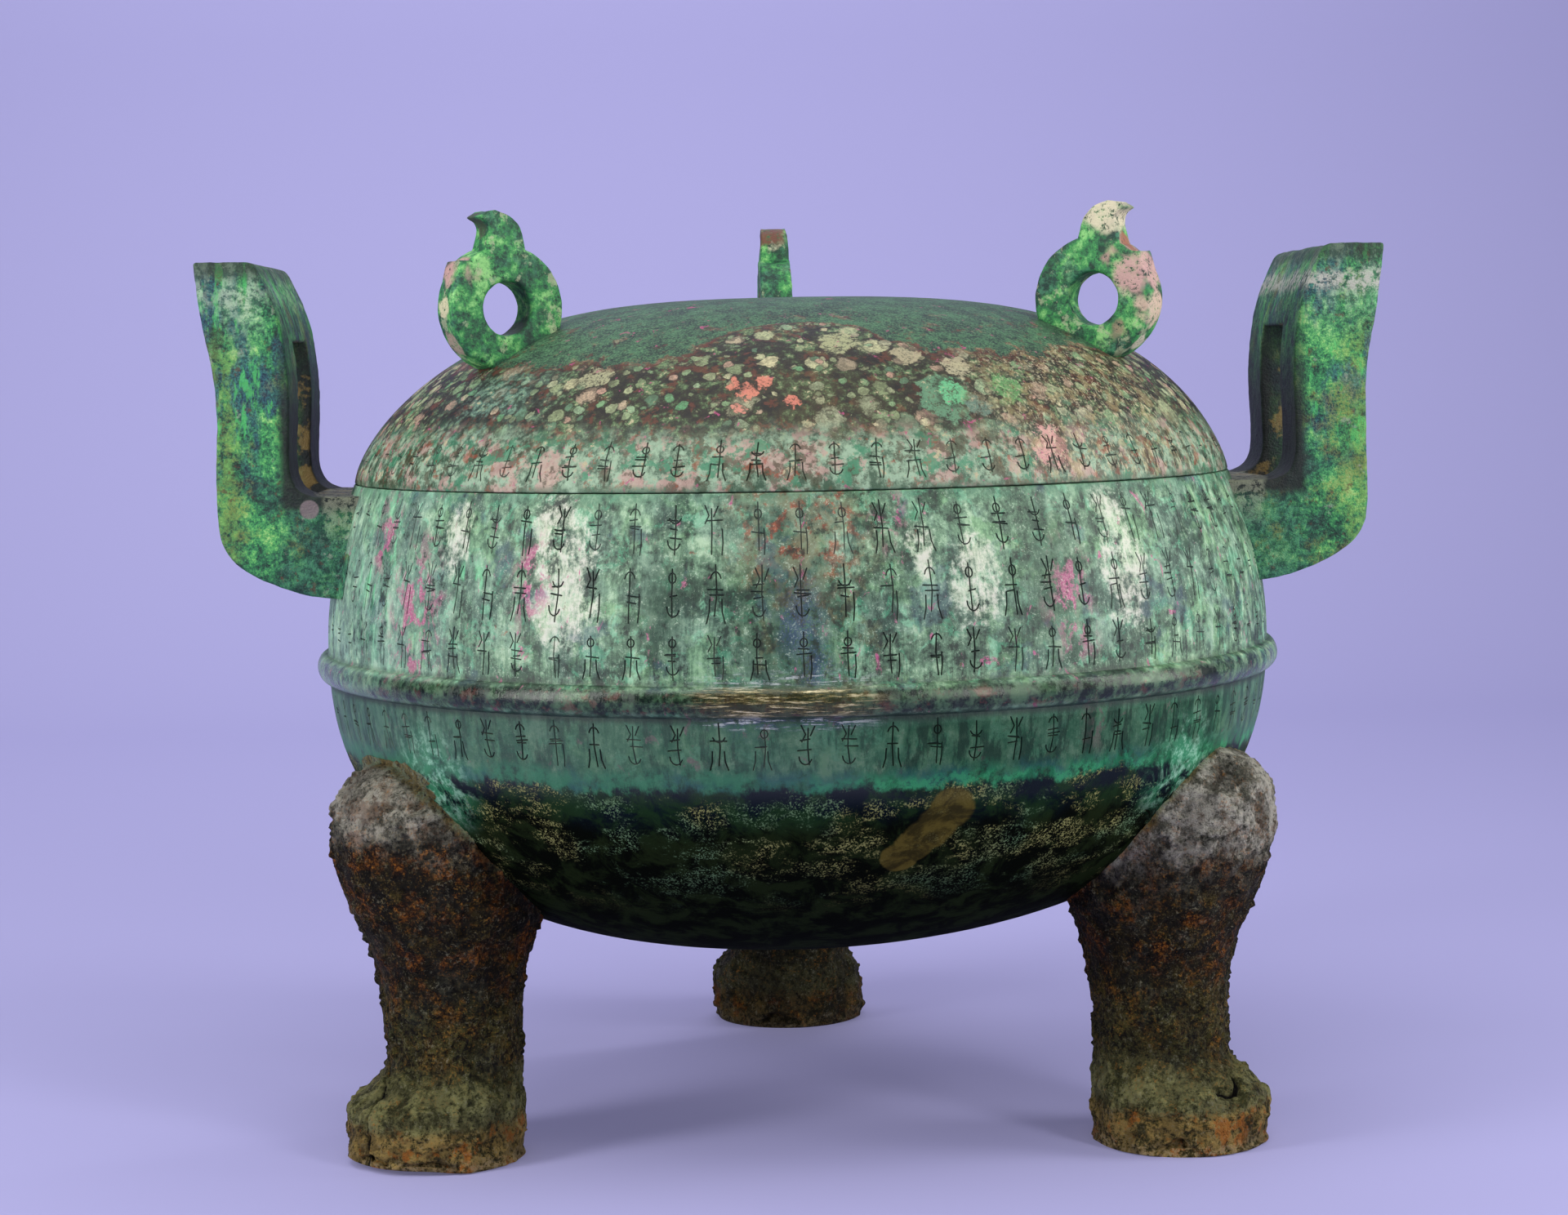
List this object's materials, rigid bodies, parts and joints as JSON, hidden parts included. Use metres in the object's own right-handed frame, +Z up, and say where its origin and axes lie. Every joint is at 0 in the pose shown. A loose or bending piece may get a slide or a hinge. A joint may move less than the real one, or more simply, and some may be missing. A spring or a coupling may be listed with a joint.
{
  "type": "bronze ding vessel",
  "caption": "Round lidded bronze cauldron on iron legs, with upright slotted side handles, a domed lid with beaked ring knobs and a raised band round the bowl.",
  "frame": {"origin": "on the floor, under the middle of the outline; the vessel's own axis stands 6.8 mm in front of it", "axes": "+X towards the right-hand handle as the picture shows it, +Y to the back, towards the leg that stands behind, +Z up"},
  "size_m": [0.658, 0.5651, 0.5147],
  "materials": {
    "bronze_body": "weathered bronze, sage green patina",
    "bronze_lid": "weathered bronze, smooth green cap over a mottled rim",
    "bronze_handles": "weathered bronze, granular green and blue patina",
    "bronze_knobs": "weathered bronze, bright green patina",
    "iron_legs": "rusted, flaking crust"
  },
  "bodies": {
    "root": {"bowl": "bronze_body", "lid": "bronze_lid", "ear_left": "bronze_handles", "ear_right": "bronze_handles", "knob_rear": "bronze_knobs", "knob_front_left": "bronze_knobs", "knob_front_right": "bronze_knobs", "leg_rear": "iron_legs", "leg_front_left": "iron_legs", "leg_front_right": "iron_legs"}
  },
  "joints": []
}
